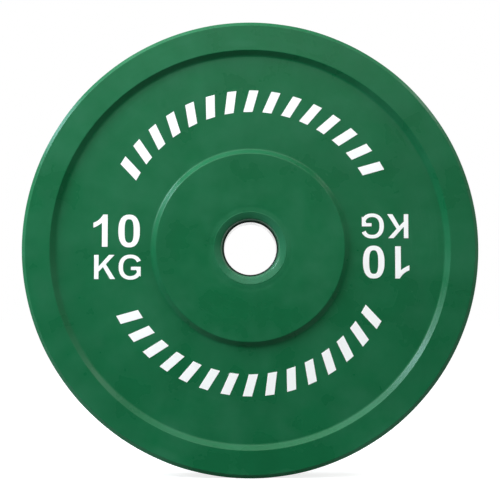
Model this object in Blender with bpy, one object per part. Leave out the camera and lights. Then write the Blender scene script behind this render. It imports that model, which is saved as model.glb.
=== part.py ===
"""A 10 kg rubber bumper plate with its steel insert, for a 50 mm barbell sleeve.

Metres, +Z up. The origin is the middle of the bore, the bore runs along Y and the front
face looks along -Y. The rubber is one moulding, alike on both faces. Cured inside it are a
steel bush, which rides on the bar, and the U-shaped hooks welded round that bush, which
key the rubber so that it can't turn or creep off the steel when the plate is dropped.
"""

from math import cos, pi, radians, sin, tan

import bmesh
import bpy
from mathutils import Vector

# The rubber moulding: a raised rim and hub with a recessed web between them
PLATE_DIAMETER = 0.450
PLATE_WIDTH = 0.052
TREAD_CHAMFER = 0.0037
RIM_WIDTH = 0.0279
HUB_RADIUS = 0.0929
WEB_RECESS = 0.0049
WALL_SLOPE = radians(45)

# The steel bush
BORE_DIAMETER = 0.052
BUSH_WALL = 0.004
BORE_LEAD_IN = 0.001
BUSH_EDGE = 0.0006
BUSH_END_SHOWN = 0.0012

# The rubber's mouth over each end of the bush: a steep throat, then a cone to the hub's face
THROAT_RUN = 0.0020
THROAT_DEPTH = 0.0053
MOUTH_RUN = 0.0055
MOUTH_DEPTH = 0.0024

# The hooks: round bar bent to a U, both feet coped to the bush and welded to it
HOOK_COUNT = 8
HOOK_BAR = 0.008
HOOK_LEG = 0.018
HOOK_END_LAND = 0.0015
WELD_LEG = 0.0025

# Fillets that the mould gives the rubber
RIM_FILLET = 0.0012
WEB_FILLET = 0.0020
HUB_FILLET = 0.0012
THROAT_FILLET = 0.0022

# The rubber is cured on the steel, and a hair's gap keeps the solids apart
SEAT_GAP = 0.0003

# How finely round shapes are drawn
TURNED_STEPS = 96
FILLET_STEPS = 2
BEND_STEPS = 6
BAR_SIDES = 10
TURNED_SHARP_ANGLE = radians(28)
BAR_SHARP_ANGLE = radians(50)

PLATE_RADIUS = PLATE_DIAMETER / 2
HALF_WIDTH = PLATE_WIDTH / 2
BORE_RADIUS = BORE_DIAMETER / 2
BUSH_RADIUS = BORE_RADIUS + BUSH_WALL
SEAT_RADIUS = BUSH_RADIUS + SEAT_GAP
SEAT_HALF = HALF_WIDTH - MOUTH_DEPTH - THROAT_DEPTH
BUSH_HALF = SEAT_HALF - SEAT_GAP
BAR_RADIUS = HOOK_BAR / 2
HALF_SPREAD = BUSH_HALF - HOOK_END_LAND - WELD_LEG - BAR_RADIUS


def finish(name, colour, roughness, metallic):
    """A plain Principled material."""
    made = bpy.data.materials.new(name)
    made.use_nodes = True
    shader = made.node_tree.nodes["Principled BSDF"]
    shader.inputs["Base Color"].default_value = (*colour, 1.0)
    shader.inputs["Roughness"].default_value = roughness
    shader.inputs["Metallic"].default_value = metallic
    return made


def place(name, mesh, material=None):
    """An object for a mesh, carried by the plate's axis."""
    if material and not mesh.materials:
        mesh.materials.append(material)
    made = bpy.data.objects.new(name, mesh)
    bpy.context.scene.collection.objects.link(made)
    made.parent = plate_axis
    return made


def cutter(name, mesh):
    """An object that only shapes others."""
    made = place(name, mesh)
    made.hide_render = True
    made.display_type = "WIRE"
    return made


def cut_away(target, tool):
    """Takes the cutter's shape out of the target."""
    difference = target.modifiers.new("less_" + tool.name, "BOOLEAN")
    difference.operation = "DIFFERENCE"
    difference.solver = "EXACT"
    difference.object = tool


def closed_mesh(name, bm, sharp_angle):
    """A mesh from the working one: faces outwards, smooth except at its real edges."""
    bmesh.ops.recalc_face_normals(bm, faces=bm.faces)
    mesh = bpy.data.meshes.new(name)
    bm.to_mesh(mesh)
    bm.free()
    mesh.shade_smooth()
    mesh.set_sharp_from_angle(angle=sharp_angle)
    return mesh


def rounded(before, corner, after, radius):
    """The points that stand for one corner: an arc that meets both its sides squarely."""
    if radius == 0:
        return [corner]
    back = (before - corner).normalized()
    ahead = (after - corner).normalized()
    half_angle = back.angle(ahead) / 2
    centre = corner + (back + ahead).normalized() * radius / sin(half_angle)
    start = corner + back * radius / tan(half_angle) - centre
    end = corner + ahead * radius / tan(half_angle) - centre
    arc = []
    for step in range(FILLET_STEPS + 1):
        outwards = start.slerp(end, step / FILLET_STEPS).normalized()
        arc.append(centre + outwards * radius)
    return arc


def outline(one_face):
    """A closed section through both faces, from one face's corners (radius, along, fillet)."""
    other_face = [(radius, -along, fillet) for radius, along, fillet in reversed(one_face)]
    corners = one_face + other_face
    points = []
    for i, corner in enumerate(corners):
        before = Vector(corners[i - 1][:2])
        after = Vector(corners[(i + 1) % len(corners)][:2])
        points += rounded(before, Vector(corner[:2]), after, corner[2])
    return points


def turned(name, section):
    """The section turned once round the bore."""
    bm = bmesh.new()
    ring = [bm.verts.new(point.to_3d()) for point in section]
    edges = [bm.edges.new((ring[i - 1], ring[i])) for i in range(len(ring))]
    bmesh.ops.spin(
        bm,
        geom=ring + edges,
        cent=(0, 0, 0),
        axis=(0, 1, 0),
        angle=2 * pi,
        steps=TURNED_STEPS,
        use_merge=True,
    )
    return closed_mesh(name, bm, TURNED_SHARP_ANGLE)


def rubber_section():
    """Section of the moulding on one face, from the bush's seat out to the tread."""
    lip = BORE_RADIUS + BUSH_END_SHOWN
    throat = lip + THROAT_RUN
    web_half = HALF_WIDTH - WEB_RECESS
    wall_run = WEB_RECESS / tan(WALL_SLOPE)
    rim_inner = PLATE_RADIUS - RIM_WIDTH
    return outline(
        [
            (SEAT_RADIUS, SEAT_HALF, 0),
            (lip, SEAT_HALF, 0),
            (throat, HALF_WIDTH - MOUTH_DEPTH, THROAT_FILLET),
            (throat + MOUTH_RUN, HALF_WIDTH, 0),
            (HUB_RADIUS, HALF_WIDTH, HUB_FILLET),
            (HUB_RADIUS + wall_run, web_half, WEB_FILLET),
            (rim_inner - wall_run, web_half, WEB_FILLET),
            (rim_inner, HALF_WIDTH, RIM_FILLET),
            (PLATE_RADIUS - TREAD_CHAMFER, HALF_WIDTH, 0),
            (PLATE_RADIUS, HALF_WIDTH - TREAD_CHAMFER, 0),
        ]
    )


def bush_section():
    """Section of the bush at one end, its bore eased for the bar."""
    return outline(
        [
            (BORE_RADIUS, BUSH_HALF - BORE_LEAD_IN, 0),
            (BORE_RADIUS + BORE_LEAD_IN, BUSH_HALF, 0),
            (BUSH_RADIUS - BUSH_EDGE, BUSH_HALF, 0),
            (BUSH_RADIUS, BUSH_HALF - BUSH_EDGE, 0),
        ]
    )


def hook_line(swell):
    """Stations along one bent bar: where it is, which way it runs and its radius there.

    The bar leaves the bush near one end, bends half round and comes back near the other.
    Each foot widens to the toe of its weld. Swell is added all round, for the hook's room.
    """
    foot = BUSH_RADIUS - WELD_LEG
    weld_top = SEAT_RADIUS + WELD_LEG + swell
    bar = BAR_RADIUS + swell
    toe = bar + weld_top - foot
    bend_start = BUSH_RADIUS + HOOK_LEG
    outwards = Vector((1, 0))
    stations = [
        (Vector((foot, HALF_SPREAD)), outwards, toe),
        (Vector((weld_top, HALF_SPREAD)), outwards, bar),
    ]
    for step in range(BEND_STEPS + 1):
        angle = pi * step / BEND_STEPS
        at = Vector((bend_start + HALF_SPREAD * sin(angle), HALF_SPREAD * cos(angle)))
        stations.append((at, Vector((cos(angle), -sin(angle))), bar))
    stations += [
        (Vector((weld_top, -HALF_SPREAD)), -outwards, bar),
        (Vector((foot, -HALF_SPREAD)), -outwards, toe),
    ]
    return stations


def hook_mesh(name, swell=0):
    """A ring of points round the bar at each station, skinned to one closed bar."""
    bm = bmesh.new()
    rings = []
    for at, way, radius in hook_line(swell):
        across = Vector((-way.y, way.x, 0))
        ring = []
        for side in range(BAR_SIDES):
            angle = 2 * pi * (side + 0.5) / BAR_SIDES
            spoke = across * cos(angle) + Vector((0, 0, sin(angle)))
            ring.append(bm.verts.new(at.to_3d() + spoke * radius))
        rings.append(ring)
    for ring, following in zip(rings, rings[1:]):
        for i in range(BAR_SIDES):
            bm.faces.new((ring[i - 1], ring[i], following[i], following[i - 1]))
    bm.faces.new(rings[0])
    bm.faces.new(rings[-1])
    return closed_mesh(name, bm, BAR_SHARP_ANGLE)


def bush_room_mesh():
    """The round space that the bush takes up, right through the plate."""
    return turned(
        "bush_room",
        [
            Vector((0, HALF_WIDTH)),
            Vector((SEAT_RADIUS, HALF_WIDTH)),
            Vector((SEAT_RADIUS, -HALF_WIDTH)),
            Vector((0, -HALF_WIDTH)),
        ],
    )


def make_hooks(rubber, steel):
    """Welds the hooks round the bush at even angles and makes room for each in the rubber."""
    bar = hook_mesh("anchor_hook")
    room = hook_mesh("hook_room", SEAT_GAP)
    bush_room = cutter("bush_room", bush_room_mesh())
    for i in range(HOOK_COUNT):
        turn = (0, 2 * pi * i / HOOK_COUNT, 0)
        hook = place(f"anchor_hook_{i + 1}", bar, steel)
        hook.rotation_euler = turn
        cut_away(hook, bush_room)
        hook_room = cutter(f"hook_room_{i + 1}", room)
        hook_room.rotation_euler = turn
        cut_away(rubber, hook_room)


for old in list(bpy.data.objects):
    bpy.data.objects.remove(old)

plate_axis = bpy.data.objects.new("plate_axis", None)
bpy.context.scene.collection.objects.link(plate_axis)

green_rubber = finish("green_rubber", (0.0152, 0.1329, 0.0545), 0.45, 0.0)
bush_steel = finish("bush_steel", (0.42, 0.42, 0.41), 0.35, 1.0)
hook_steel = finish("hook_steel", (0.25, 0.24, 0.23), 0.60, 1.0)

rubber_body = place("rubber_body", turned("rubber_body", rubber_section()), green_rubber)
place("steel_bush", turned("steel_bush", bush_section()), bush_steel)
make_hooks(rubber_body, hook_steel)
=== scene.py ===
# %% [markdown]
# # A 10 kg rubber bumper plate
# A bumper plate is one thick rubber moulding, cured round a steel bush so that it can be
# dropped with the bar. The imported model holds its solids: the moulding, the bush and the
# eight hooks that key the two together. This script keeps them as its frame, never moves
# them, and makes the finished surface of each: fine fillets, the small marks of the mould,
# turned steel, welds, printed white marks, and light that shows them.
#
# Everything is in metres, +Z up. The bore runs along Y and the front face looks along -Y.

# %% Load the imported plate
from math import cos, pi, radians, sin

import bpy
import numpy as np
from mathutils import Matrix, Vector
from mathutils.geometry import tessellate_polygon


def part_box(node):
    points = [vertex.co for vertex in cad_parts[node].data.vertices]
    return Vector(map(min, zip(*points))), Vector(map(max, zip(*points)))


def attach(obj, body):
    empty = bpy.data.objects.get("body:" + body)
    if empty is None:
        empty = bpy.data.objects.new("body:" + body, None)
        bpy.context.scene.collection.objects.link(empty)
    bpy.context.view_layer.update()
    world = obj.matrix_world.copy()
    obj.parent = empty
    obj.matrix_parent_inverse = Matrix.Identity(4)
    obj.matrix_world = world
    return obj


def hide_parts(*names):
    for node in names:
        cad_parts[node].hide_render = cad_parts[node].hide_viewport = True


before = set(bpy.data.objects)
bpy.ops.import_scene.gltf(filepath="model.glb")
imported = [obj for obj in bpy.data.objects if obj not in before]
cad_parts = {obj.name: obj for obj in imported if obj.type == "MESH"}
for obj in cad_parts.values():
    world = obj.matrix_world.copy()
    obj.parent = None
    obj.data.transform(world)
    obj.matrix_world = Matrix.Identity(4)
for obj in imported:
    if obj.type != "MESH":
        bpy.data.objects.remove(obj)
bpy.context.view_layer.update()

plate_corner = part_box("rubber_body")[1]
bush_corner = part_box("steel_bush")[1]
PLATE_RADIUS = plate_corner.x
HALF_WIDTH = plate_corner.y
BUSH_RADIUS = bush_corner.x
BUSH_HALF = bush_corner.y
print(f"plate {2000 * PLATE_RADIUS:.1f} mm across and {2000 * HALF_WIDTH:.1f} mm wide")
print(f"bush {2000 * BUSH_RADIUS:.1f} mm across and {2000 * BUSH_HALF:.1f} mm long")

# %% [markdown]
# ## Camera
# The photograph looks at the plate nearly square on, from a little below its middle: the
# upper part of the rim's inner wall shows wider than the lower part, and the recessed web
# sits a touch lower in the picture than the rim. A long lens from about a metre and a
# quarter gives those widths, so the camera is placed by angles and distance, not by eye.

# %% Camera
CAMERA_AZIMUTH = radians(-0.35)
CAMERA_ELEVATION = radians(-3.0)
CAMERA_DISTANCE = 1.25
CAMERA_AIM = Vector((-0.0002, 0, -0.0005))
LENS = 89.7


def towards(azimuth, elevation):
    """The direction from the plate to a place: azimuth 0 is -Y, +90 degrees is +X."""
    flat = cos(elevation)
    return Vector((sin(azimuth) * flat, -cos(azimuth) * flat, sin(elevation)))


def look_along(thing, direction, distance, aim):
    """Puts a camera or lamp that far out from its aim and turns it to face the aim."""
    thing.location = aim + direction * distance
    thing.rotation_euler = (-direction).to_track_quat("-Z", "Y").to_euler()
    bpy.context.scene.collection.objects.link(thing)


camera = bpy.data.objects.new("camera", bpy.data.cameras.new("camera"))
camera.data.lens = LENS
look_along(camera, towards(CAMERA_AZIMUTH, CAMERA_ELEVATION), CAMERA_DISTANCE, CAMERA_AIM)
bpy.context.scene.camera = camera
bpy.context.scene.view_settings.view_transform = "Standard"
print("camera at", [round(c, 3) for c in camera.location])

# %% [markdown]
# ## Nodes by name
# Every floor, world and finish below is a small tree of shader nodes. One helper makes a
# node and fills its inputs, each with a plain value or with another node's output, so that
# a tree reads from top to bottom like a recipe. The others name what is done again and
# again: a sum, a mix of two colours, a range spread over another, a distance.

# %% Helpers for shader nodes
MIX_FACTOR, MIX_A, MIX_B, MIX_RESULT = 0, 6, 7, 2


def fill(tree, made, inputs):
    """Fills a node's inputs: an output of another node is linked, a plain value is set."""
    for name, value in inputs.items():
        if isinstance(value, bpy.types.NodeSocket):
            tree.links.new(value, made.inputs[name])
        else:
            made.inputs[name].default_value = value
    return made


def node(tree, kind, inputs=None, **settings):
    """A shader node: its settings first, then its inputs by name or number."""
    made = tree.nodes.new("ShaderNode" + kind)
    for name, value in settings.items():
        setattr(made, name, value)
    return fill(tree, made, inputs or {})


def maths(tree, operation, first, second=0.0):
    """One sum: the operation's result on two values."""
    return node(tree, "Math", {0: first, 1: second}, operation=operation).outputs[0]


def plus(tree, value, mask, amount):
    """The value with an amount added where the mask is 1: value + mask * amount."""
    return maths(tree, "ADD", value, maths(tree, "MULTIPLY", mask, amount))


def mixed(tree, mask, first, second):
    """The first colour where the mask is 0, the second where it is 1."""
    inputs = {MIX_FACTOR: mask, MIX_A: first, MIX_B: second}
    return node(tree, "Mix", inputs, data_type="RGBA", blend_type="MIX").outputs[MIX_RESULT]


def ranged(tree, value, low, high, to_low=0.0, to_high=1.0):
    """The value's range from low to high, spread over another range and held there."""
    inputs = {"Value": value, "From Min": low, "From Max": high, "To Min": to_low, "To Max": to_high}
    return node(tree, "MapRange", inputs).outputs[0]


def length_of(tree, step):
    """The length of a vector."""
    return node(tree, "VectorMath", {0: step}, operation="LENGTH").outputs["Value"]


def off_axis(tree, place):
    """The step from the bore's axis to a place, which is the place with its Y set to 0."""
    return node(tree, "VectorMath", {0: place, 1: (1, 0, 1)}, operation="MULTIPLY").outputs[0]


print("a colour mix reads inputs", MIX_FACTOR, MIX_A, MIX_B, "and gives output", MIX_RESULT)


# %% [markdown]
# ## Floor and background
# The plate stands on a plain white floor in front of a white background. Pure white by
# light alone would burn out the rubber, so both are white only to rays that look straight
# at them, and to rays that meet them behind the plate after a mirror or glass. Scattered
# light finds them dimmer. The floor beside the plate is pale grey and the floor in front is
# darker, as if a black cloth lay there, because the lower half of the photographed plate
# mirrors something dark. A corner of the cloth reaches under the plate, where the chamfer
# mirrors it. The rest of the room is one even dim grey, a little brighter in front above
# the horizon and at the right, and brighter still in a small patch at the far left that
# only the plate's outer edge can see. The floor keeps its shadow.

# %% White to the camera and to mirrors
BEHIND_START = 0.05
BEHIND_FULL = 0.45
WHITE = (1, 1, 1, 1)


def seen_white(tree, place):
    """1 for rays from the camera, and for mirrored ones that end behind the plate, else 0."""
    rays = node(tree, "LightPath").outputs
    mirrored = maths(tree, "MAXIMUM", rays["Is Glossy Ray"], rays["Is Transmission Ray"])
    depth = node(tree, "SeparateXYZ", {0: place}).outputs["Y"]
    behind = ranged(tree, depth, BEHIND_START, BEHIND_FULL)
    return maths(tree, "MAXIMUM", rays["Is Camera Ray"], maths(tree, "MULTIPLY", mirrored, behind))


print(f"mirrored rays find white from {BEHIND_START} m behind the plate, and all of it at {BEHIND_FULL} m")

# %% Floor
FLOOR_HALF = 30.0
PARTING_RISE = 0.00025
FLOOR_SEEN = (0.60, 0.60, 0.60, 1)
FLOOR_LIFT = 0.80
FLOOR_BESIDE = (0.46, 0.46, 0.46, 1)
FLOOR_IN_FRONT = (0.095, 0.095, 0.095, 1)
FLOOR_ROUGHNESS = 0.9
CLOTH_START = -0.05
CLOTH_FULL = -0.13
CORNER_END = 0.14
CORNER_FULL = 0.05
CORNER_REACH = 0.07

floor_height = -PLATE_RADIUS - PARTING_RISE
corners = [(-1, -1), (1, -1), (1, 1), (-1, 1)]
floor_mesh = bpy.data.meshes.new("floor")
floor_mesh.from_pydata(
    [(x * FLOOR_HALF, y * FLOOR_HALF, floor_height) for x, y in corners], [], [range(4)]
)
floor = bpy.data.objects.new("floor", floor_mesh)
bpy.context.scene.collection.objects.link(floor)

floor_finish = bpy.data.materials.new("studio_floor")
floor_finish.use_nodes = True
tree = floor_finish.node_tree
place = node(tree, "TexCoord").outputs["Object"]
seen = seen_white(tree, place)
shader = tree.nodes["Principled BSDF"]
parts = node(tree, "SeparateXYZ", {0: place}).outputs
corner = ranged(tree, maths(tree, "ABSOLUTE", parts["X"]), CORNER_END, CORNER_FULL, 0, CORNER_REACH)
cloth = ranged(tree, maths(tree, "SUBTRACT", parts["Y"], corner), CLOTH_START, CLOTH_FULL)
bounce = mixed(tree, cloth, FLOOR_BESIDE, FLOOR_IN_FRONT)
tree.links.new(mixed(tree, seen, bounce, FLOOR_SEEN), shader.inputs["Base Color"])
tree.links.new(maths(tree, "MULTIPLY", seen, FLOOR_LIFT), shader.inputs["Emission Strength"])
shader.inputs["Emission Color"].default_value = WHITE
shader.inputs["Roughness"].default_value = FLOOR_ROUGHNESS
shader.inputs["Specular IOR Level"].default_value = 0.0
floor_mesh.materials.append(floor_finish)
print(f"floor at {1000 * floor_height:.2f} mm")

# %% Background
SKY_EVEN = 0.31
FRONT_GLOW = 0.20
RIGHT_GLOW = 0.30
LEFT_GLOW = 0.60
# Each glow fades in while a part of the ray's direction goes from the first value to the second
FRONT_FADE_Y = (-0.60, -0.90)
FRONT_FADE_Z = (0.0, 0.15)
RIGHT_FADE_X = (0.45, 0.90)
LEFT_FADE_X = (-0.80, -0.95)
LEFT_FADE_Y = (-0.12, 0.08)

world = bpy.data.worlds.new("studio")
bpy.context.scene.world = world
world.use_nodes = True
tree = world.node_tree
direction = node(tree, "TexCoord").outputs["Generated"]
parts = node(tree, "SeparateXYZ", {0: direction}).outputs
in_front = ranged(tree, parts["Y"], *FRONT_FADE_Y)
above = ranged(tree, parts["Z"], *FRONT_FADE_Z, 0, FRONT_GLOW)
at_right = ranged(tree, parts["X"], *RIGHT_FADE_X, 0, RIGHT_GLOW)
at_left = ranged(tree, parts["X"], *LEFT_FADE_X)
beside = ranged(tree, parts["Y"], *LEFT_FADE_Y, 0, LEFT_GLOW)
glow = maths(tree, "ADD", maths(tree, "MULTIPLY", in_front, above), at_right)
glow = maths(tree, "ADD", glow, maths(tree, "MULTIPLY", beside, at_left))
sky = maths(tree, "ADD", glow, SKY_EVEN)
strength = ranged(tree, seen_white(tree, direction), 0, 1, sky, 1.0)
background = tree.nodes["Background"]
background.inputs["Color"].default_value = WHITE
tree.links.new(strength, background.inputs["Strength"])
print(f"sky at {SKY_EVEN}, with {FRONT_GLOW} more in front, {RIGHT_GLOW} right and {LEFT_GLOW} far left")

# %% [markdown]
# ## Lamps
# The sloped walls tell where the light was. A wall at 45 degrees mirrors what stands in the
# plate's own plane, in the direction that the wall faces. Round the rim, the hub and the
# mouth the same glints come back: a narrow bluish one towards the upper left, a broad one
# overhead and a faint narrow one at the upper right. So a strip lamp with a cool tint
# stands at the left, a wide lamp hangs above, and a weak one stands at the right. Two soft
# lamps light the flat faces: a wide one high in front, and a small cool one further left,
# which makes the left of the plate a little brighter and bluer than the right. Each is set
# by its level, the share of a surface's own colour that it would add if the surface faced
# it squarely.

# %% Lamps


def soft_lamp(name, level, azimuth, elevation, distance, width, height, tint=(1, 1, 1)):
    """A rectangle of light. Its power follows from the level: watts = level * pi^2 * distance^2."""
    lamp = bpy.data.lights.new(name, "AREA")
    lamp.shape = "RECTANGLE"
    lamp.size = width
    lamp.size_y = height
    lamp.color = tint
    lamp.energy = level * pi**2 * distance**2
    holder = bpy.data.objects.new(name, lamp)
    direction = towards(radians(azimuth), radians(elevation))
    look_along(holder, direction, distance, Vector((0, 0, 0)))
    holder.visible_camera = False
    print(f"{name}: level {level}, {lamp.energy:.0f} W")


soft_lamp("left_strip", 0.52, -77, 36, 1.5, width=1.1, height=0.22, tint=(0.75, 1, 1.25))
soft_lamp("left_lamp", 0.64, -62, 30, 1.4, width=0.7, height=0.6, tint=(0.85, 1, 1.1))
soft_lamp("top_lamp", 0.54, -12, 74, 1.2, width=1.7, height=0.8)
soft_lamp("right_lamp", 0.15, 79, 43, 1.5, width=0.8, height=0.25)
soft_lamp("front_lamp", 0.86, -22, 48, 1.5, width=2.5, height=1.7)

# %% [markdown]
# ## From a section to a turned skin
# The moulding and the bush are both round the bore, so each is one closed section turned
# through a full circle. The section is a list of corners, and each corner has its own
# fillet, because a mould has no knife edges. Two steps make it fine enough: every corner
# becomes an arc that touches both its sides, and the straights between are divided, with
# one point close to each end so that the shading of a flat face stays flat.

# %% Section helpers
FILLET_STEPS = 5
NEAR_END = 0.00035


def rounded(corners):
    """Arcs for the corners, as points and a mark that is 1 on an arc.

    A fillet of radius f in a corner of half angle h has its centre f / sin(h) along the
    bisector, and runs between the feet of the centre on both sides. Rows of corners are
    (radius, along, fillet). A corner without a fillet keeps its one point.
    """
    corner = corners[:, :2]
    fillet = corners[:, 2:3]
    back = np.roll(corner, 1, axis=0) - corner
    ahead = np.roll(corner, -1, axis=0) - corner
    back /= np.linalg.norm(back, axis=1, keepdims=True)
    ahead /= np.linalg.norm(ahead, axis=1, keepdims=True)
    half_angle = np.arccos(np.clip((back * ahead).sum(1, keepdims=True), -1, 1)) / 2
    bisector = back + ahead
    bisector /= np.linalg.norm(bisector, axis=1, keepdims=True) + 1e-12
    centre = corner + bisector * fillet / np.sin(half_angle)
    reach = fillet / np.tan(half_angle)
    start = corner + back * reach - centre
    end = corner + ahead * reach - centre
    first = np.arctan2(start[:, 1], start[:, 0])
    sweep = (np.arctan2(end[:, 1], end[:, 0]) - first + pi) % (2 * pi) - pi
    angle = first[:, None] + sweep[:, None] * np.linspace(0, 1, FILLET_STEPS + 1)
    arc = centre[:, None] + fillet[:, None] * np.stack([np.cos(angle), np.sin(angle)], -1)
    on_arc = np.repeat(fillet > 0, FILLET_STEPS + 1, axis=1)
    keep = on_arc.copy()
    keep[:, 0] = True
    return arc[keep], on_arc[keep].astype(float)


def divided(points, on_arc, spacing_at):
    """The closed section with its sides cut up evenly, as fine as each side's radius asks.

    Each side longer than three near-end distances also gets a point near both its ends.
    The rest is a walk along the section: a point's share of its side, read off by length.
    """
    side = np.roll(points, -1, axis=0) - points
    length = np.linalg.norm(side, axis=1)
    walked = np.concatenate([[0], np.cumsum(length)])
    spacing = spacing_at(points[:, 0] + side[:, 0] / 2)
    pieces = np.maximum(np.ceil(length / spacing).astype(int), 1)
    which = np.repeat(np.arange(len(points)), pieces)
    step = np.arange(len(which)) - np.repeat(np.cumsum(pieces) - pieces, pieces)
    stops = walked[which] + length[which] * step / pieces[which]
    long = length > 3 * NEAR_END
    near = np.concatenate([walked[:-1][long] + NEAR_END, walked[1:][long] - NEAR_END])
    stops = np.unique(np.round(np.concatenate([stops, near]), 8))
    looped = np.vstack([points, points[:1]])
    marks = np.append(on_arc, on_arc[0])
    section = np.stack([np.interp(stops, walked, looped[:, i]) for i in range(2)], -1)
    return section, np.interp(stops, walked, marks)


def both_faces(one_face):
    """The corners of one face, from the bore outwards, and their mirror image back to the bore."""
    one = np.array(one_face, float)
    return np.vstack([one, one[::-1] * [1, -1, 1]])


print("a corner becomes", FILLET_STEPS + 1, "points")

# %% [markdown]
# A skin is a grid of points: one direction runs along the section, the other round the
# bore. The point at (radius, along) turned by an angle t is (radius cos t, along,
# radius sin t). Both directions close on themselves, so the grid is a ring without seams.

# %% Skins from grids
SHARP_ANGLE = radians(60)


def turned_skin(section, around):
    """Grid of points: the section turned round Y, (radius cos t, along, radius sin t)."""
    t = 2 * pi * np.arange(around) / around
    radius, along = section[:, 0:1], section[:, 1:2]
    return np.stack([radius * np.cos(t), along + 0 * t, radius * np.sin(t)], -1)


def grid_faces(rows, columns, close_rows):
    """Four-sided faces between neighbours of a grid whose columns close on themselves."""
    row = np.arange(rows if close_rows else rows - 1)[:, None]
    column = np.arange(columns)[None, :]
    down = (row + 1) % rows
    right = (column + 1) % columns
    at = [row * columns + column, row * columns + right, down * columns + right, down * columns + column]
    return np.stack([np.broadcast_to(a, (len(row), columns)) for a in at], -1).reshape(-1, 4)


def volume_of(points, triangles):
    """Space inside a closed skin: a sixth of the sum of a . (b x c) over its triangles."""
    a, b, c = (points[triangles[:, i]] for i in range(3))
    return (a * np.cross(b, c)).sum() / 6


def piece_from(name, points, faces, finish, sharp_angle=SHARP_ANGLE):
    """An object on the plate from points and faces, turned right side out if need be."""
    split = np.concatenate([np.array(faces)[:, [0, i, i + 1]] for i in range(1, len(faces[0]) - 1)])
    size = volume_of(points, split)
    faces = np.array(faces)[:, ::-1] if size < 0 else np.array(faces)
    mesh = bpy.data.meshes.new(name)
    mesh.from_pydata(points.tolist(), [], faces.tolist())
    mesh.shade_smooth()
    mesh.set_sharp_from_angle(angle=sharp_angle)
    mesh.materials.append(finish)
    piece = bpy.data.objects.new(name, mesh)
    bpy.context.scene.collection.objects.link(piece)
    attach(piece, "root")
    print(f"{name}: {len(split)} triangles, {1e6 * abs(size):.1f} cm3")
    return piece


print("a closed grid of 3 rows and 4 columns has", len(grid_faces(3, 4, True)), "faces")

# %% [markdown]
# ## Surface effects that several finishes share
# Cured rubber, ink and steel all vary softly over their surface. Three effects are built
# once as node groups and used again with other values: clouds, which are two sizes of
# noise added together; grain, the fine pebble that a mould leaves; and rubs, streaks that
# run round the bore. The streaks read the direction from the bore and the distance to it
# in place of an angle, so they have no seam.

# %% Helpers for effects


def effect(name, numbers_in, output):
    """An empty node group: a vector and named numbers go in, one number comes out."""
    group = bpy.data.node_groups.new(name, "ShaderNodeTree")
    group.interface.new_socket("Vector", in_out="INPUT", socket_type="NodeSocketVector")
    for label, value in numbers_in.items():
        socket = group.interface.new_socket(label, in_out="INPUT", socket_type="NodeSocketFloat")
        socket.default_value = value
    group.interface.new_socket(output, in_out="OUTPUT", socket_type="NodeSocketFloat")
    start = group.nodes.new("NodeGroupInput").outputs
    end = group.nodes.new("NodeGroupOutput").inputs
    return group, start, end


def shared(tree, group, output, **values):
    """One of the shared effects, placed in a finish with its own values."""
    made = tree.nodes.new("ShaderNodeGroup")
    made.node_tree = group
    inputs = {name.capitalize(): value for name, value in values.items()}
    return fill(tree, made, inputs).outputs[output]


def noise(tree, vector, scale, detail=2.0, roughness=0.5):
    """Soft noise, 0 to 1, about a half on average."""
    inputs = {"Vector": vector, "Scale": scale, "Detail": detail, "Roughness": roughness}
    return node(tree, "TexNoise", inputs).outputs["Fac"]


def blended(tree, first, second, share):
    """A share of the first value and the rest of the second: a * s + b * (1 - s)."""
    return plus(tree, maths(tree, "MULTIPLY", first, share), second, 1 - share)


print("an effect reads a vector and numbers, and puts out one number")

# %% Shared effects as node groups
SMALLER_CLOUDS = 4.3
BROAD_SHARE = 0.68
CLOUD_RANGE = (0.32, 0.68)
PEEL_SIZE = 0.17
FINE_SHARE = 0.35
STREAK_RANGE = (0.52, 0.80)
PATCH_SCALE = 9.0
PATCH_RANGE = (0.45, 0.75)

clouds, given, out = effect("clouds", {"Scale": 12.0}, "Mask")
broad = noise(clouds, given["Vector"], given["Scale"])
smaller = maths(clouds, "MULTIPLY", given["Scale"], SMALLER_CLOUDS)
small = noise(clouds, given["Vector"], smaller, detail=3.0)
total = blended(clouds, broad, small, BROAD_SHARE)
clouds.links.new(ranged(clouds, total, *CLOUD_RANGE), out["Mask"])

grain, given, out = effect("grain", {"Scale": 900.0}, "Height")
fine = noise(grain, given["Vector"], given["Scale"], detail=3.0, roughness=0.6)
peel_scale = maths(grain, "MULTIPLY", given["Scale"], PEEL_SIZE)
peel = noise(grain, given["Vector"], peel_scale, detail=1.0)
grain.links.new(blended(grain, fine, peel, FINE_SHARE), out["Height"])

rubs, given, out = effect("rubs", {"Length": 3.0, "Fineness": 260.0, "Amount": 0.5}, "Mask")
step = off_axis(rubs, given["Vector"])
heading = node(rubs, "VectorMath", {0: step}, operation="NORMALIZE").outputs[0]
heading = node(rubs, "VectorMath", {0: heading, "Scale": given["Length"]}, operation="SCALE").outputs[0]
across = maths(rubs, "MULTIPLY", length_of(rubs, step), given["Fineness"])
place = node(rubs, "VectorMath", {0: heading, 1: node(rubs, "CombineXYZ", {"Y": across}).outputs[0]})
streak = noise(rubs, place.outputs[0], 1.0, detail=4.0, roughness=0.62)
patch = noise(rubs, given["Vector"], PATCH_SCALE)
worn = maths(rubs, "MULTIPLY", ranged(rubs, streak, *STREAK_RANGE), ranged(rubs, patch, *PATCH_RANGE))
rubs.links.new(maths(rubs, "MULTIPLY", worn, given["Amount"]), out["Mask"])
print("effects:", ", ".join(group.name for group in (clouds, grain, rubs)))

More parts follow.
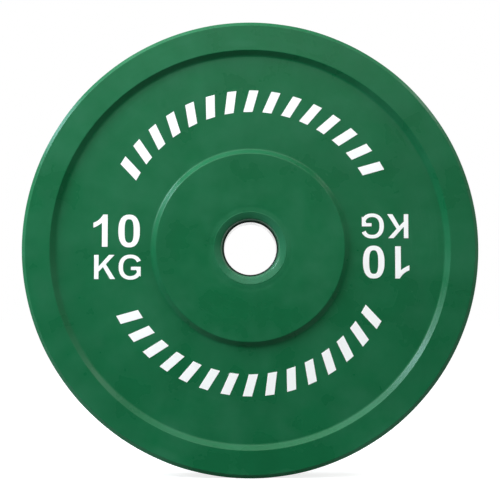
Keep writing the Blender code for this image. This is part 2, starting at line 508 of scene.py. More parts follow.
# %% [markdown]
# ## Green rubber
# The rubber is coloured right through, so wear never shows another colour under it. What
# does change is its bloom, the thin pale film of wax and sulphur that cured rubber sweats
# out. It lies over the whole face in soft clouds of every size. It is thickest round the
# mouth, where nothing touches the rubber, and thin wherever a hand or a cloth has wiped it.
# Scuffs on the rim are paler, because they roughen the surface. Less of the film in a broad
# place below the bore and in another along the foot of the rim darkens the lower part of
# the face: that is painted shade and reflection. A table lists all such places as ovals,
# with less of the film where they were wiped or where shade is painted, and more where they
# were scuffed or left. The bar's end polishes the mouth's cone: it shines more than the
# faces do, and the mould's pebble is worn off it. The green itself is a touch lighter
# towards the middle of the hub. In the throat it is mixed towards a dark green, which is
# painted shade. So the colour is one deep green, mixed with the bloom's by how thick the
# film is at each place.

# %% Handled places and painted shade on the front
# Rows are x, z, half length and half width in mm, tilt in degrees, and the bloom added
HANDLED_AND_SHADED = [
    # Painted shade and reflection: less film in this broad place below the bore darkens the lower face
    (-27, -57, 24, 27, 20, -0.085),
    (34, -69, 27, 12, 12, -0.055),
    (52, -34, 30, 20, 20, 0.035),
    (64, 36, 14, 26, 0, -0.030),
    (-30, 42, 34, 22, 40, 0.065),
    # Painted shade and reflection: less film along the rim's foot darkens the bottom of the rim
    (20, -206, 90, 17, 4, -0.080),
    (0, 207, 95, 16, 0, -0.045),
    (-20, 168, 95, 18, 8, -0.055),
    (208, 0, 14, 60, 0, 0.030),
    (63, -164, 27, 17, 18, -0.100),
    (-65, -158, 30, 24, -22, -0.075),
    (-79, -193, 30, 16, -22, -0.075),
    (174, 5, 18, 28, 0, -0.060),
    (-89, 187, 38, 18, 26, -0.050),
    (70, 14, 19, 16, 0, -0.055),
    (-109, 131, 21, 12, 40, -0.060),
    (-40, 98, 26, 10, 22, -0.055),
    (116, -174, 17, 12, 34, -0.055),
    (-19, -82, 17, 8, -13, -0.065),
    (5, 57, 12, 16, 0, 0.065),
    (4, -44, 19, 12, 0, 0.060),
    (-169, -113, 10, 7, -56, 0.080),
    (-203, 80, 14, 6, 68, 0.090),
    (-84, -200, 16, 5, -23, 0.090),
    (-8, 203, 20, 3, 2, 0.080),
    (52, 199, 18, 3, -14, 0.060),
    (157, 104, 14, 3, -58, 0.060),
    (152, 108, 16, 3, -58, -0.050),
    (187, 77, 12, 4, -68, 0.050),
    (142, 52, 9, 2, 8, 0.060),
    (146, -92, 34, 24, 60, 0.025),
]
OVAL_EDGE = 1.25
OVAL_FULL = 0.45
OVAL_DEPTH = 0.02
MM = 0.001


def handled_and_shaded(tree, here, ragged, x, z, length, width, tilt):
    """1 in the middle of an oval and 0 outside it, its edge made ragged by noise."""
    placing = {
        "Vector": here,
        "Location": (x * MM, -HALF_WIDTH, z * MM),
        "Rotation": (0, -radians(tilt), 0),
        "Scale": (length * MM, OVAL_DEPTH, width * MM),
    }
    oval = node(tree, "Mapping", placing, vector_type="TEXTURE").outputs[0]
    return ranged(tree, maths(tree, "ADD", length_of(tree, oval), ragged), OVAL_EDGE, OVAL_FULL)


print(len(HANDLED_AND_SHADED), "handled places")

# %% Helpers for finishes


def blank_finish(name, roughness, metallic, specular):
    """A material with its even values set on the shader, its tree and its shader."""
    made = bpy.data.materials.new(name)
    made.use_nodes = True
    base = made.node_tree.nodes["Principled BSDF"]
    base.inputs["Roughness"].default_value = roughness
    base.inputs["Metallic"].default_value = metallic
    base.inputs["Specular IOR Level"].default_value = specular
    return made, made.node_tree, base


def raised(tree, base, height, distance):
    """Feeds a height through a bump into the shader's normal."""
    bump = node(tree, "Bump", {"Height": height, "Distance": distance, "Strength": 1.0})
    tree.links.new(bump.outputs[0], base.inputs["Normal"])


print("a finish starts from one shader with even values")

# %% Bloom on the rubber
RUBBER_SHEEN = 0.21
TONE_SCALE = 17.0
BLOOM_EVEN = 0.076
BLOOM_CLOUDS = 0.105
BLOOM_LEFT = 0.010
BLOOM_SCALE = 19.0
RAGGED_SCALE = 60.0
RAGGED_EDGE = 0.35
NOISE_RANGE = (0.3, 0.7)
STREAK_BLOOM = 0.20
FILLET_BLOOM = 0.04
LIP_BLOOM = 0.09
LIP_BLOOM_END = 0.0445
LIP_BLOOM_FULL = 0.0355
CONE_BLOOM = 0.11
CONE_START = 0.0355
CONE_FULL = 0.0345

green_rubber, tree, base = blank_finish("moulded_green_rubber", 0.46, 0.0, RUBBER_SHEEN)
here = node(tree, "TexCoord").outputs["Object"]
from_axis = length_of(tree, off_axis(tree, here))
on_fillet = node(tree, "Attribute", attribute_name="fillet").outputs["Fac"]
on_cone = ranged(tree, from_axis, CONE_START, CONE_FULL)
tone = shared(tree, clouds, "Mask", vector=here, scale=TONE_SCALE)
streaks = shared(tree, rubs, "Mask", vector=here, length=2.6, fineness=240.0, amount=0.55)
cloudy = noise(tree, here, BLOOM_SCALE, detail=3.5, roughness=0.64)
bloom = ranged(tree, cloudy, *NOISE_RANGE, -BLOOM_CLOUDS, BLOOM_CLOUDS)
bloom = maths(tree, "ADD", bloom, BLOOM_EVEN)
ragged = noise(tree, here, RAGGED_SCALE, detail=3.0, roughness=0.6)
ragged = ranged(tree, ragged, *NOISE_RANGE, -RAGGED_EDGE, RAGGED_EDGE)
for *oval, added in HANDLED_AND_SHADED:
    bloom = plus(tree, bloom, handled_and_shaded(tree, here, ragged, *oval), added)
bloom = maths(tree, "MAXIMUM", bloom, BLOOM_LEFT)
bloom = plus(tree, bloom, streaks, STREAK_BLOOM)
bloom = plus(tree, bloom, on_fillet, FILLET_BLOOM)
lip_bloom = ranged(tree, from_axis, LIP_BLOOM_END, LIP_BLOOM_FULL, 0.0, LIP_BLOOM)
full_bloom = plus(tree, maths(tree, "ADD", bloom, lip_bloom), on_cone, CONE_BLOOM)
print(f"bloom {BLOOM_EVEN} on average, {BLOOM_CLOUDS} more or less in clouds")

# %% Green rubber
RUBBER_DEEP = (0.0006, 0.0990, 0.0300, 1)
RUBBER_LIGHT = (0.0016, 0.1180, 0.0375, 1)
RUBBER_BLOOM = (0.0550, 0.2000, 0.1200, 1)
HUB_LIGHT = 0.35
HUB_LIGHT_END = 0.100
HUB_LIGHT_FULL = 0.050
# Painted shade for the throat: a dark green, and the radii over which it fades in
THROAT_PAINTED_SHADE = (0.0012, 0.0330, 0.0120, 1)
THROAT_SHADE_END = 0.0288
THROAT_SHADE_FULL = 0.0280
THROAT_SHADE = 0.4
THROAT_DULLNESS = 0.44
DULLNESS_RANGE = (0.25, 0.29)
BLOOM_DULLNESS = 0.55
FILLET_GLOSS = 0.03
CONE_GLOSS = 0.09
CONE_PEBBLE = 0.2
PEBBLE_HEIGHT = 0.00006

fresh = maths(tree, "ADD", tone, ranged(tree, from_axis, HUB_LIGHT_END, HUB_LIGHT_FULL, 0.0, HUB_LIGHT))
colour = mixed(tree, full_bloom, mixed(tree, fresh, RUBBER_DEEP, RUBBER_LIGHT), RUBBER_BLOOM)
# Painted shade: the throat's colour is mixed towards the dark green, as the deep steep wall lies in shade
in_throat = ranged(tree, from_axis, THROAT_SHADE_END, THROAT_SHADE_FULL)
colour = mixed(tree, maths(tree, "MULTIPLY", in_throat, THROAT_SHADE), colour, THROAT_PAINTED_SHADE)
tree.links.new(colour, base.inputs["Base Color"])
dull = plus(tree, ranged(tree, tone, 0, 1, *DULLNESS_RANGE), bloom, BLOOM_DULLNESS)
dull = plus(tree, dull, in_throat, THROAT_DULLNESS)
dull = plus(tree, dull, on_fillet, -FILLET_GLOSS)
dull = plus(tree, dull, on_cone, -CONE_GLOSS)
tree.links.new(dull, base.inputs["Roughness"])
pebble = shared(tree, grain, "Height", vector=here, scale=900.0)
pebble = maths(tree, "MULTIPLY", pebble, ranged(tree, on_cone, 0, 1, 1.0, CONE_PEBBLE))
raised(tree, base, pebble, PEBBLE_HEIGHT)
print("made", green_rubber.name)

# %% [markdown]
# ## The rubber moulding
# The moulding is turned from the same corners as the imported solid: the seat on the bush,
# the steep throat and the cone of the mouth, the flat hub, two sloped walls with the
# recessed web between them, the rim's land and the tread. To these it adds what a mould and
# a press leave. The rim's land falls a little towards the tread. The mould's plug leaves a
# fine crease at the mouth's lip, a low roll round it and a shallow dip outside. A thin ridge
# runs round the tread where the mould's halves met. No large face is quite true: a sum of long,
# shallow waves moves the skin by a few hundredths of a millimetre along its normal. Nor did
# the steel sit quite true in the mould: the photographed hub stands 0.8 mm above the bore's
# centre and the rim's inner wall 0.45 mm below it, so those rings are moved that much.

# %% Sizes of the moulding
BORE_RADIUS = 0.026
BUSH_END_SHOWN = 0.0012
THROAT_RUN = 0.0020
THROAT_DEPTH = 0.0053
MOUTH_RUN = 0.0055
MOUTH_DEPTH = 0.0024
HUB_RADIUS = 0.0929
WEB_RECESS = 0.0049
RIM_WIDTH = 0.0279
TREAD_CHAMFER = 0.0037
HAIR = 0.00005

lip = BORE_RADIUS + BUSH_END_SHOWN
throat = lip + THROAT_RUN
mouth = throat + MOUTH_RUN
seat_half = HALF_WIDTH - MOUTH_DEPTH - THROAT_DEPTH
web_half = HALF_WIDTH - WEB_RECESS
rim_inner = PLATE_RADIUS - RIM_WIDTH
print(f"mouth {2000 * mouth:.1f} mm across, hub {2000 * HUB_RADIUS:.1f}, rim inside {2000 * rim_inner:.1f}")

# %% Marks of the mould
# Rings round the mouth: the radius of the middle, the bell's width and its height
CREASE = (0.0348, 0.00030, -0.00012)
ROLL = (0.0355, 0.0005, 0.00013)
DIP = (0.0405, 0.0020, -0.00010)
ROLL_END = 0.0374
DIP_END = 0.046
WAVES = 7
WAVE_DEPTH = 0.00002
SHORTEST_WAVE = 0.045
WAVE_STEP = 0.0125
# Steps in radians from one wave to the next: round the bore, in lean along it, and in phase
WAVE_TURN, WAVE_LEAN, WAVE_PHASE = 2.4, 1.7, 1.9


def waver(points):
    """How far the skin leaves its true shape: a sum of plane waves with set directions.

    Wave k has a length from 45 to 120 mm and the height sin(2 pi (p . d) / length + phase).
    The sum fades in from the mouth outwards, so the seat on the steel stays true.
    """
    k = np.arange(WAVES)
    turn = WAVE_TURN * k
    way = np.stack([np.cos(turn), 0.5 * np.sin(WAVE_LEAN * k), np.sin(turn)], -1)
    length = SHORTEST_WAVE + WAVE_STEP * (k * 3 % WAVES)
    wave = np.sin(2 * pi * (points @ way.T) / length + WAVE_PHASE * k)
    radius = np.hypot(points[..., 0], points[..., 2])
    fade = np.clip((radius - throat) / (DIP_END - throat), 0, 1)
    return WAVE_DEPTH * wave.sum(-1) * fade


def ring_relief(radius):
    """Height of the crease, the roll and the dip round the mouth: bell curves over the radius."""
    rings = (CREASE, ROLL, DIP)
    return sum(height * np.exp(-(((radius - at) / wide) ** 2)) for at, wide, height in rings)


print(f"the waves add up to {1e6 * WAVE_DEPTH * WAVES:.0f} micrometres at most")

# %% Section of the moulding
LAND_FALL = 0.00035
PARTING_HALF = 0.0004
SEAT_FILLET = 0.0002
LIP_FILLET = 0.0003
THROAT_FILLET = 0.0022
MOUTH_FILLET = 0.0004
HUB_FILLET = 0.0016
WEB_FILLET = 0.0030
RIM_FILLET = 0.0011
LAND_FILLET = 0.0005
TREAD_FILLET = 0.0003
RUBBER_SPACING = 0.006
ROLL_SPACING = 0.0002
DIP_SPACING = 0.0008

rubber_corners = both_faces(
    [
        (BUSH_RADIUS + HAIR, seat_half, SEAT_FILLET),
        (lip, seat_half, LIP_FILLET),
        (throat, HALF_WIDTH - MOUTH_DEPTH, THROAT_FILLET),
        (mouth, HALF_WIDTH, MOUTH_FILLET),
        (ROLL_END, HALF_WIDTH, 0),
        (DIP_END, HALF_WIDTH, 0),
        (HUB_RADIUS, HALF_WIDTH, HUB_FILLET),
        (HUB_RADIUS + WEB_RECESS, web_half, WEB_FILLET),
        (rim_inner - WEB_RECESS, web_half, WEB_FILLET),
        (rim_inner, HALF_WIDTH, RIM_FILLET),
        (PLATE_RADIUS - TREAD_CHAMFER, HALF_WIDTH - LAND_FALL, LAND_FILLET),
        (PLATE_RADIUS, HALF_WIDTH - TREAD_CHAMFER, TREAD_FILLET),
        (PLATE_RADIUS, PARTING_HALF, 0),
        (PLATE_RADIUS + PARTING_RISE, PARTING_HALF / 4, 0),
    ]
)


def rubber_spacing(radius):
    """Finest on the roll round the mouth, fine on the dip, wide elsewhere."""
    ends = [radius < mouth, radius < ROLL_END, radius < DIP_END]
    return np.select(ends, [RUBBER_SPACING, ROLL_SPACING, DIP_SPACING], RUBBER_SPACING)


rubber_section, fillet_marks = divided(*rounded(rubber_corners), rubber_spacing)
face_side = np.sign(rubber_section[:, 1])
on_hub = (rubber_section[:, 0] > throat) & (rubber_section[:, 0] < HUB_RADIUS / 2)
rubber_section[:, 1] += on_hub * face_side * ring_relief(rubber_section[:, 0])
print(len(rubber_section), "points in the section")

# %% Rubber moulding
RUBBER_AROUND = 344
# How far up the rings of each radius were cured off the bore's centre
OFF_CENTRE_FROM = (0.045, 0.086, 0.094, 0.098, 0.130, 0.180, 0.206, 0.216)
OFF_CENTRE_UP = (0, 0.0008, 0.0008, 0.0004, 0, -0.00045, -0.00045, 0)

skin = turned_skin(rubber_section, RUBBER_AROUND)
ahead = np.roll(rubber_section, -1, axis=0) - np.roll(rubber_section, 1, axis=0)
outward = np.stack([-ahead[:, 1], ahead[:, 0]], -1)
outward /= np.linalg.norm(outward, axis=1, keepdims=True)
skin += turned_skin(outward, RUBBER_AROUND) * waver(skin)[..., None]
skin[..., 2] += np.interp(np.hypot(skin[..., 0], skin[..., 2]), OFF_CENTRE_FROM, OFF_CENTRE_UP)
rubber_points = skin.reshape(-1, 3)
rubber = piece_from(
    "rubber_moulding",
    rubber_points,
    grid_faces(len(rubber_section), RUBBER_AROUND, True),
    green_rubber,
)
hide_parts("rubber_body")
mark = rubber.data.attributes.new("fillet", "FLOAT", "POINT")
mark.data.foreach_set("value", np.repeat(fillet_marks, RUBBER_AROUND).astype(np.float32))

# %% [markdown]
# ## Steel bush
# The bush is a length of thick tube, faced and chamfered at both ends on a lathe. Its bore
# guides the bar's sleeve, so it is turned too, and a turned face carries fine lines that
# run round it. The lines follow the distance along the bore on the tube and the distance
# from the axis on the end faces, so one pattern over both sums serves the whole piece. The
# sleeve slides in and out and keeps the bore bright, in long patches. It never rubs the
# chamfers and the ends, which stay dark with the oxide of the welding and of the press.

# %% Turned steel
STEEL_DULL = (0.42, 0.415, 0.405, 1)
STEEL_BRIGHT = (0.66, 0.65, 0.63, 1)
LINES_ALONG = 1800
LINES_ACROSS = 2200
LINE_DRIFT = 30.0
LINE_SHARE = 0.30
LINE_HEIGHT = 0.000004
BURNISH_STRETCH = (60, 7, 60)
BURNISH_RANGE = (0.38, 0.62)
DULL_ROUGHNESS = 0.24
BRIGHT_ROUGHNESS = 0.12
OXIDE = (0.020, 0.023, 0.021, 1)
OXIDE_START = 0.0001
OXIDE_FULL = 0.0003
OXIDE_ROUGHNESS = 0.55

turned_steel, tree, base = blank_finish("turned_steel", 0.2, 1.0, 0.5)
here = node(tree, "TexCoord").outputs["Object"]
from_axis = length_of(tree, off_axis(tree, here))
along = maths(tree, "MULTIPLY", node(tree, "SeparateXYZ", {0: here}).outputs["Y"], LINES_ALONG)
lines_at = plus(tree, along, from_axis, LINES_ACROSS)
drift = node(tree, "VectorMath", {0: here, "Scale": LINE_DRIFT}, operation="SCALE").outputs[0]
lines_place = node(tree, "VectorMath", {0: drift, 1: node(tree, "CombineXYZ", {"Y": lines_at}).outputs[0]})
lines = noise(tree, lines_place.outputs[0], 1.0, roughness=0.6)
stretched = node(tree, "Mapping", {0: here, "Scale": BURNISH_STRETCH}).outputs[0]
burnished = ranged(tree, noise(tree, stretched, 1.0, detail=3.0, roughness=0.6), *BURNISH_RANGE)
tone = blended(tree, lines, burnished, LINE_SHARE)
colour = mixed(tree, tone, STEEL_DULL, STEEL_BRIGHT)
oxide = ranged(tree, from_axis, BORE_RADIUS + OXIDE_START, BORE_RADIUS + OXIDE_FULL)
tree.links.new(mixed(tree, oxide, colour, OXIDE), base.inputs["Base Color"])
sleek = ranged(tree, tone, 0.1, 0.9, DULL_ROUGHNESS, BRIGHT_ROUGHNESS)
tree.links.new(ranged(tree, oxide, 0, 1, sleek, OXIDE_ROUGHNESS), base.inputs["Roughness"])
raised(tree, base, lines, LINE_HEIGHT)
print("made", turned_steel.name)

# %% Steel bush
BORE_LEAD_IN = 0.001
BORE_FILLET = 0.0003
BUSH_EDGE = 0.0006
BUSH_FILLET = 0.0002
BUSH_AROUND = 240
BUSH_SPACING = 0.0015

bush_corners = both_faces(
    [
        (BORE_RADIUS, BUSH_HALF - BORE_LEAD_IN, BORE_FILLET),
        (BORE_RADIUS + BORE_LEAD_IN, BUSH_HALF, BUSH_FILLET),
        (BUSH_RADIUS - BUSH_EDGE, BUSH_HALF, BUSH_FILLET),
        (BUSH_RADIUS, BUSH_HALF - BUSH_EDGE, BUSH_FILLET),
    ]
)
bush_section, _ = divided(*rounded(bush_corners), lambda radius: BUSH_SPACING + 0 * radius)
bush_points = turned_skin(bush_section, BUSH_AROUND).reshape(-1, 3)
bush_faces = grid_faces(len(bush_section), BUSH_AROUND, True)
bush = piece_from("turned_bush", bush_points, bush_faces, turned_steel)
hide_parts("steel_bush")

# %% [markdown]
# ## Anchor hooks
# Each hook is a length of round bar bent into a U. Both feet are ground hollow to sit on
# the bush and welded all round. Only the rubber ever sees them, yet they are what carries
# a dropped plate, so they are finished as well: a bar swept along its bent line, flared at
# the feet by the hollow curve of the weld, with the ripple that a weld's runs leave.
#
# The skin is a grid of rings along the bar. A ring at a foot can't stay flat, because the
# bush is round: each of its points sits on a cylinder, a sag of R - sqrt(R^2 - z^2) below
# the flat ring, and the sag fades out up the leg.

# %% Hook steel
SCALE_DARK = (0.045, 0.043, 0.042, 1)
SCALE_BARE = (0.30, 0.29, 0.28, 1)
SCALE_ROUGHNESS = 0.72
BARE_ROUGHNESS = 0.48
SCALE_HEIGHT = 0.00008
STRAW = (0.42, 0.27, 0.10, 1)
BLUE = (0.10, 0.13, 0.30, 1)
TINT_SHARE = 0.7
TINT_WIDTH = 0.006

hook_steel, tree, base = blank_finish("scaled_bar_steel", 0.6, 1.0, 0.5)
here = node(tree, "TexCoord").outputs["Object"]
bare = shared(tree, clouds, "Mask", vector=here, scale=160.0)
from_axis = length_of(tree, off_axis(tree, here))
heat = ranged(tree, from_axis, BUSH_RADIUS + 2 * TINT_WIDTH, BUSH_RADIUS + TINT_WIDTH / 2)
tint = mixed(tree, ranged(tree, heat, 0.5, 1.0), BLUE, STRAW)
colour = mixed(tree, bare, SCALE_DARK, SCALE_BARE)
colour = mixed(tree, maths(tree, "MULTIPLY", heat, TINT_SHARE), colour, tint)
tree.links.new(colour, base.inputs["Base Color"])
tree.links.new(ranged(tree, bare, 0, 1, SCALE_ROUGHNESS, BARE_ROUGHNESS), base.inputs["Roughness"])
raised(tree, base, shared(tree, grain, "Height", vector=here, scale=1400.0), SCALE_HEIGHT)
print("made", hook_steel.name)

# %% Line of the bent bar
BAR_RADIUS = 0.004
HOOK_LEG = 0.018
HOOK_END_LAND = 0.0015
WELD_LEG = 0.0025
WELD_STEPS = 8
LEG_STEPS = 8
BEND_STEPS = 24

half_spread = BUSH_HALF - HOOK_END_LAND - WELD_LEG - BAR_RADIUS
weld_height = WELD_LEG * (1 - np.cos(np.linspace(0, pi / 2, WELD_STEPS + 1)))
leg_height = np.linspace(WELD_LEG, HOOK_LEG, LEG_STEPS + 1)[1:]
height = np.concatenate([weld_height, leg_height])
bend = np.linspace(0, pi, BEND_STEPS + 1)[1:-1]
straight = np.zeros(len(height))
rise = np.concatenate([height, HOOK_LEG + half_spread * np.sin(bend), height[::-1]])
middle = np.concatenate([straight + half_spread, half_spread * np.cos(bend), straight - half_spread])
lean = np.concatenate([straight, bend, straight + pi])
print(f"{len(rise)} rings along the bar, legs {2000 * half_spread:.1f} mm apart")

# %% Skin of a hook
BAR_AROUND = 48
CAP_STEPS = 5
FOOT_GAP = 0.00002
WELD_RUNS = 14
WELD_RIPPLE = 0.10

side = 2 * pi * np.arange(BAR_AROUND) / BAR_AROUND


def weld_flare(up):
    """How far the weld stands out from the bar: the hollow quarter circle L - sqrt(L^2 - (L - h)^2)."""
    left = np.clip(WELD_LEG - up, 0, WELD_LEG)
    return WELD_LEG - np.sqrt(WELD_LEG**2 - left**2)


def on_bush(up, z):
    """Distance from the axis plane: the height above the bush, less the cylinder's sag there."""
    sag = BUSH_RADIUS - np.sqrt(BUSH_RADIUS**2 - z**2)
    fade = np.clip(1 - up / HOOK_LEG, 0, 1) ** 2
    return BUSH_RADIUS + FOOT_GAP + up - sag * fade


def hook_skin():
    """Rings along the bar: middle line, plus radius times (cos s across the bar, sin s along z)."""
    ripple = 1 + WELD_RIPPLE * np.abs(np.sin(WELD_RUNS * side / 2))
    radius = BAR_RADIUS + weld_flare(rise)[:, None] * ripple
    across = radius * np.cos(side)
    z = radius * np.sin(side)
    up = rise[:, None] + across * np.sin(lean)[:, None]
    y = middle[:, None] + across * np.cos(lean)[:, None]
    return np.stack([on_bush(up, z), y, z], -1)


def foot_cap(edge, inwards):
    """Smaller and smaller rings from a foot's edge to a point, all lying on the bush."""
    share = np.linspace(1, 0, CAP_STEPS + 2)[1:-1][::inwards, None]
    centre = edge.mean(0)
    y = centre[1] + (edge[:, 1] - centre[1]) * share
    z = edge[:, 2] * share
    return np.stack([on_bush(0 * z, z), y, z], -1)


print(f"a foot is {2000 * (BAR_RADIUS + weld_flare(0.0)):.1f} mm across with its weld")

# %% Eight hooks round the bush
HOOK_COUNT = 8

bar = hook_skin()
rings = np.concatenate([foot_cap(bar[0], -1), bar, foot_cap(bar[-1], 1)])
hook_grid = grid_faces(len(rings), BAR_AROUND, False)
poles = np.array([[BUSH_RADIUS + FOOT_GAP, half_spread, 0], [BUSH_RADIUS + FOOT_GAP, -half_spread, 0]])
hook_points = np.vstack([rings.reshape(-1, 3), poles])
edge = np.arange(BAR_AROUND)
last = (len(rings) - 1) * BAR_AROUND
first_fan = np.stack([np.full(BAR_AROUND, len(hook_points) - 2), np.roll(edge, -1), edge], -1)
last_fan = np.stack([np.full(BAR_AROUND, len(hook_points) - 1), last + edge, last + np.roll(edge, -1)], -1)
hook_faces = np.vstack([hook_grid[:, [0, 1, 2]], hook_grid[:, [0, 2, 3]], first_fan, last_fan])
for i in range(HOOK_COUNT):
    turn = 2 * pi * i / HOOK_COUNT
    x, y, z = hook_points.T
    turned = np.stack([x * cos(turn) + z * sin(turn), y, z * cos(turn) - x * sin(turn)], -1)
    hook = piece_from(f"welded_hook_{i + 1}", turned, hook_faces, hook_steel)
    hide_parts(f"anchor_hook_{i + 1}")

# %% [markdown]
# ## White marks
# The marks are ink, printed on the web after curing. Ink has a thickness, and its edge is
# drawn round by surface tension, so each mark is a thin closed film: a rounded profile
# carried along the mark's outline, with the flat inside filled. The two faces carry the
# same marks, and on each face the right-hand mark is the left one turned upside down.
#
# An outline is a loop of points in millimetres, x to the right and z up, as seen by someone
# who faces that side of the plate. Round strokes are bows: arcs of |x/a|^n + |z/b|^n = 1,
# where n a little above 2 gives the fuller shoulders of a bold, plain letter.

# %% White ink
INK_WHITE = (0.97, 0.94, 0.91, 1)
INK_THIN = (0.90, 0.90, 0.86, 1)
THIN_SHARE = 0.25
PINHOLE_SCALE = 650.0
PINHOLE_RANGE = (0.66, 0.80)
PINHOLE_SHARE = 0.5
INK_ROUGHNESS = (0.45, 0.58)
INK_GRAIN_HEIGHT = 0.00003

white_ink, tree, base = blank_finish("white_ink", 0.5, 0.0, 0.3)
here = node(tree, "TexCoord").outputs["Object"]
thin = shared(tree, clouds, "Mask", vector=here, scale=120.0)
pinholes = ranged(tree, noise(tree, here, PINHOLE_SCALE), *PINHOLE_RANGE)
colour = mixed(tree, maths(tree, "MULTIPLY", thin, THIN_SHARE), INK_WHITE, INK_THIN)
colour = mixed(tree, maths(tree, "MULTIPLY", pinholes, PINHOLE_SHARE), colour, INK_THIN)
tree.links.new(colour, base.inputs["Base Color"])
tree.links.new(ranged(tree, thin, 0, 1, *INK_ROUGHNESS), base.inputs["Roughness"])
raised(tree, base, shared(tree, grain, "Height", vector=here, scale=1200.0), INK_GRAIN_HEIGHT)
print("made", white_ink.name)

# %% Arcs for the outlines
BOW_STEP = radians(7)
SAG_POINTS = 9


def bow(centre, half_width, half_height, start, end, fullness):
    """Points on an arc of |x/a|^n + |z/b|^n = 1, from one angle to another, in degrees."""
    steps = int(abs(radians(end - start)) / BOW_STEP) + 2
    angle = np.radians(np.linspace(start, end, steps))
    c, s = np.cos(angle), np.sin(angle)
    size = (np.abs(c) ** fullness + np.abs(s) ** fullness) ** (-1 / fullness)
    return np.array(centre) + np.stack([half_width * c * size, half_height * s * size], -1)


def sagging(start, middle, end):
    """Points on the parabola through three points, at even shares of the way along it."""
    t = np.linspace(0, 1, SAG_POINTS)[:, None]
    start, middle, end = (np.array(point) for point in (start, middle, end))
    return (1 - t) * (1 - 2 * t) * start + 4 * t * (1 - t) * middle + t * (2 * t - 1) * end


print("a full bow has", len(bow((0, 0), 1, 1, 0, 360, 2)), "points")

# %% Outlines of the marks


def figure_one():
    """A straight stem with a flag that falls away in a shallow curve to the left."""
    top_side = sagging((-145.25, 33.35), (-149.2, 28.4), (-154.8, 25.2))
    under_side = sagging((-154.75, 20.4), (-150.9, 22.1), (-146.35, 25.2))
    stem = [(-146.35, 1.5), (-140.75, 1.5), (-140.75, 33.35)]
    return [np.vstack([top_side, under_side, stem])]


def figure_zero():
    """A tall ring: a full outer bow and a narrower one inside, run the other way round."""
    middle = (-119.55, 17.1)
    outer = bow(middle, 10.6, 16.2, 0, 355, 2.42)
    inner = bow(middle, 4.45, 11.65, 355, 0, 2.88)
    return [outer, inner]


def letter_k():
    """A stem, an arm up to the right and a leg down from the arm's middle."""
    loop = [(-153.9, -6.5), (-153.9, -30.3), (-149.5, -30.3), (-149.5, -23.05), (-145.1, -18.6)]
    loop += [(-138.3, -30.3), (-133.1, -30.3), (-142.3, -15.7), (-133.9, -6.5), (-139.3, -6.5)]
    return [np.array(loop + [(-149.5, -17.9), (-149.5, -6.5)])]


def letter_g():
    """An open bow with a bar and a short spur at its right."""
    middle = (-118.15, -18.6)
    outer = bow(middle, 11.55, 12.35, 30.8, 319.6, 2.26)
    bar = [(-108.0, -28.05), (-108.0, -18.2), (-117.65, -18.2), (-117.65, -21.4), (-112.4, -21.4)]
    inner = bow(middle, 7.25, 8.85, 329.5, 31, 2.39)
    return [np.vstack([outer, bar, inner])]


def slanted_bars(centre, first, last, count):
    """Even bars round an arc, each a sheared block: its sides lean as the radius grows."""
    low, high, width, lean = 128.4, 149.9, 9.1, 6.0
    loops = []
    for middle in np.linspace(first, last, count):
        rows = [(low, -lean / 2, -1), (low, -lean / 2, 1), (high, lean / 2, 1), (high, lean / 2, -1)]
        radius, shift, half = (np.array(column) for column in zip(*rows))
        angle = radians(90 - middle) - (shift + half * width / 2) / radius
        corners = np.stack([radius * np.cos(angle), radius * np.sin(angle)], -1)
        loops.append([corners + centre])
    return loops


weight_mark = [figure_one(), figure_zero(), letter_k(), letter_g()]
print("points in the outlines:", [sum(len(loop) for loop in shape) for shape in weight_mark])

# %% [markdown]
# The film's edge is a profile of (how far in from the outline, how far above the web). The
# way in at a corner is the mitre of its two sides' normals, so a carried profile keeps its
# distance from both. The inside is filled with triangles between the loops, above and below.
# The edge's narrow facets are shaded apart from the top, so the top stays flat.

# %% Films of ink
INK_THICKNESS = 0.00014
INK_SUNK = 0.00006
INK_SHARP = radians(15)
EDGE_PROFILE = [
    (0, -INK_SUNK),
    (0, 0.35 * INK_THICKNESS),
    (0.00004, 0.75 * INK_THICKNESS),
    (0.00013, INK_THICKNESS),
]


def area_of(loop):
    """Signed area of a loop, positive when it runs to the left round its inside."""
    x, z = loop.T
    return (x * np.roll(z, -1) - z * np.roll(x, -1)).sum() / 2


def way_in(loop):
    """Unit step towards the ink at each point: (n1 + n2) / (1 + n1 . n2)."""
    ahead = np.roll(loop, -1, axis=0) - loop
    ahead /= np.linalg.norm(ahead, axis=1, keepdims=True)
    normal = np.stack([-ahead[:, 1], ahead[:, 0]], -1)
    before = np.roll(normal, 1, axis=0)
    return (normal + before) / (1 + (normal * before).sum(1, keepdims=True))


def edge_points(loop):
    """The edge profile carried round a loop, row by row: (x, height, z)."""
    steps_in, heights = np.array(EDGE_PROFILE).T[:, :, None]
    x, z = (loop + way_in(loop) * steps_in[:, None]).transpose(2, 0, 1)
    return np.stack([x, heights + 0 * x, z], -1).reshape(-1, 3)


def filled(points, rings, to_left):
    """Triangles between rings of points, given by number, that all turn the same way."""
    outlines = [[Vector((points[i, 0], points[i, 2], 0)) for i in ring] for ring in rings]
    triangles = np.concatenate(rings)[np.array(tessellate_polygon(outlines))]
    a, b, c = (points[triangles[:, i]][:, [0, 2]] for i in range(3))
    left = (b - a)[:, 0] * (c - a)[:, 1] - (b - a)[:, 1] * (c - a)[:, 0] > 0
    wrong = left != to_left
    triangles[wrong] = triangles[wrong][:, ::-1]
    return triangles


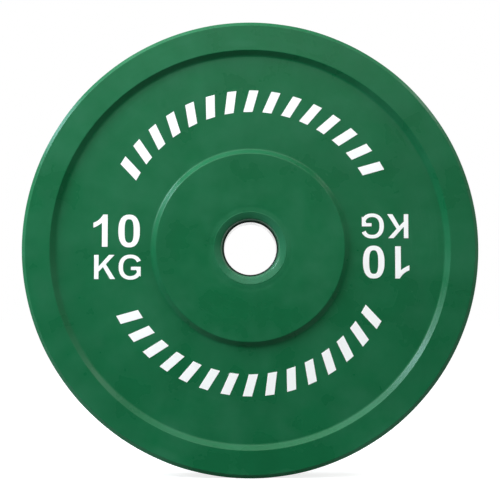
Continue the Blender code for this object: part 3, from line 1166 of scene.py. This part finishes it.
def joined(parts):
    """Several skins as one: their points, and their faces counted on from the skins before."""
    starts = np.cumsum([0] + [len(points) for points, _ in parts])
    counted_on = [faces + start for (_, faces), start in zip(parts, starts)]
    return np.vstack([points for points, _ in parts]), np.vstack(counted_on)


def film(shape):
    """Points and triangles of one closed film: (x, height, z) with the web at height 0."""
    loops = [loop * MM for loop in shape]
    loops = [loop if (area_of(loop) > 0) == (i == 0) else loop[::-1] for i, loop in enumerate(loops)]
    rows = len(EDGE_PROFILE)
    edges = [(edge_points(loop), grid_faces(rows, len(loop), False)) for loop in loops]
    points, quads = joined(edges)
    starts = np.cumsum([0] + [rows * len(loop) for loop in loops])
    faces = [quads[:, [0, 2, 1]], quads[:, [0, 3, 2]]]
    for row, to_left in ((rows - 1, False), (0, True)):
        rings = [start + row * len(loop) + np.arange(len(loop)) for start, loop in zip(starts, loops)]
        faces.append(filled(points, rings, to_left))
    return points, np.vstack(faces)


print(f"ink {1000 * INK_THICKNESS:.2f} mm thick on the web")

# %% Print the marks
MARKS_TURN = (1.1, 1.8)
BARS_TURN = (0.35, 5.85)
BARS_CENTRE = (0.6, 7.2)
BAR_COUNT = 15
BARS_HALF_ARC = 58.8


def print_mark(name, shapes, turn_about, back):
    """Prints shapes on a face: turned upside down about a point, and walked round to the back."""
    points, faces = joined([film(shape) for shape in shapes])
    if turn_about:
        x, z = turn_about
        points = np.array([2 * x * MM, 0, 2 * z * MM]) + points * [-1, 1, -1]
    points[:, 1] = -web_half - points[:, 1]
    if back:
        points *= [-1, -1, 1]
    points[:, 1] += np.sign(points[:, 1]) * waver(points)
    return piece_from(name, points, faces, white_ink, INK_SHARP)


upper_bars = slanted_bars(BARS_CENTRE, -BARS_HALF_ARC, BARS_HALF_ARC, BAR_COUNT)
for face in ("front", "back"):
    print_mark(f"weight_mark_{face}_left", weight_mark, None, face == "back")
    print_mark(f"weight_mark_{face}_right", weight_mark, MARKS_TURN, face == "back")
    print_mark(f"bars_{face}_upper", upper_bars, None, face == "back")
    print_mark(f"bars_{face}_lower", upper_bars, BARS_TURN, face == "back")
